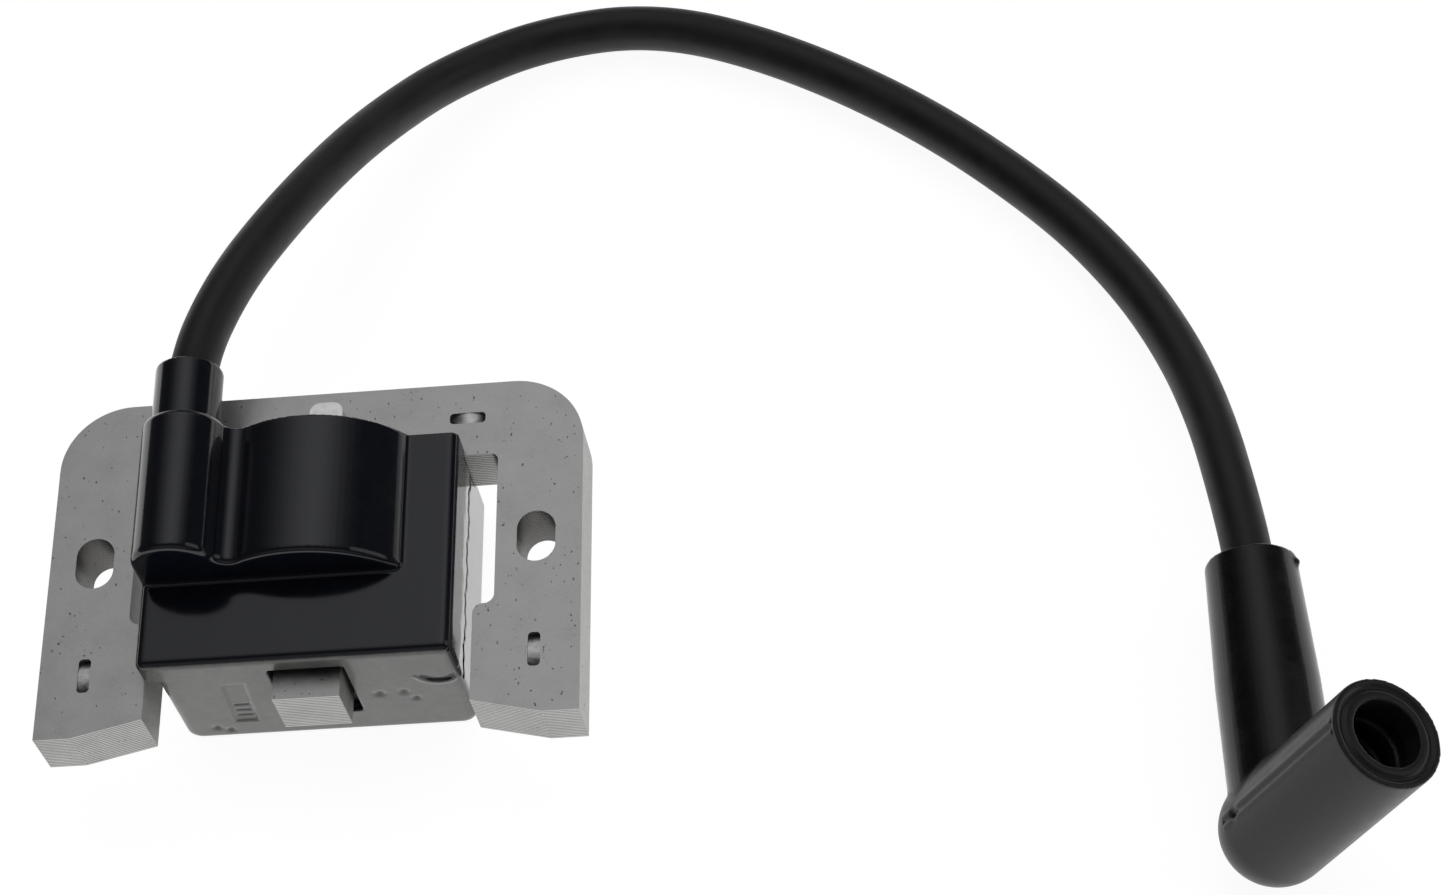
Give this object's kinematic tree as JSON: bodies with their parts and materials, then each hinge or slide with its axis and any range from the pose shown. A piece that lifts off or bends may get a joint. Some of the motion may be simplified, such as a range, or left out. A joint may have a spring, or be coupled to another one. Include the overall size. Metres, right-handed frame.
{
  "type": "small engine ignition coil",
  "caption": "Magneto ignition coil: laminated E core through a potted black housing, with a high-tension lead that ends in a turnable elbow plug boot.",
  "frame": {"origin": "under the middle of the core, on the flat back of the housing that the coil lies on; the free lead and its boot are left out of the measure", "axes": "+X across the two mounting slots towards the side away from the lead tower, +Y from the pole ends towards the top bar of the core, +Z out of the front of the housing"},
  "size_m": [0.1896, 0.1563, 0.0369],
  "materials": {
    "core_steel": "satin, fine grain along the legs",
    "housing_plastic": "gloss black moulding",
    "tinned_terminal": "bright tin",
    "bobbin_plastic": "black filled nylon",
    "copper_wire": "enamelled copper",
    "brass": "plain",
    "board_laminate": "glass-epoxy board",
    "capacitor_case": "dipped",
    "component_case": "moulded epoxy",
    "resistor_coat": "lacquer",
    "potting_resin": "cast black epoxy",
    "spring_steel": "bright",
    "lead_jacket": "satin black",
    "boot_rubber": "satin black"
  },
  "bodies": {
    "coil_unit": {"core_laminations": "core_steel", "core_tongues": "core_steel", "housing_shell": "housing_plastic", "kill_terminal": "tinned_terminal", "pole_bobbin": "bobbin_plastic", "trigger_winding": "copper_wire", "charge_winding": "copper_wire", "primary_winding": "copper_wire", "secondary_bobbin": "bobbin_plastic", "secondary_winding": "copper_wire", "secondary_link": "copper_wire", "tower_contact": "brass", "circuit_board": "board_laminate", "storage_capacitor": "capacitor_case", "switching_thyristor": "component_case", "rectifier_diodes": "component_case", "board_resistors": "resistor_coat", "board_links": "copper_wire", "kill_link": "copper_wire", "potting_fill": "potting_resin", "earth_spring": "spring_steel", "spark_lead": "lead_jacket"},
    "boot": {"plug_boot": "boot_rubber", "plug_clip": "brass", "clip_stem": "brass", "lead_crimp": "brass", "conductor_end": "copper_wire"}
  },
  "joints": [
    {"name": "boot_swivel", "type": "hinge", "parent": "coil_unit", "child": "boot", "pos_m": [0.1323, -0.04494, 0.0103], "axis": [-0.04, 0.9992, 0], "range_deg": [-115, 60]}
  ]
}
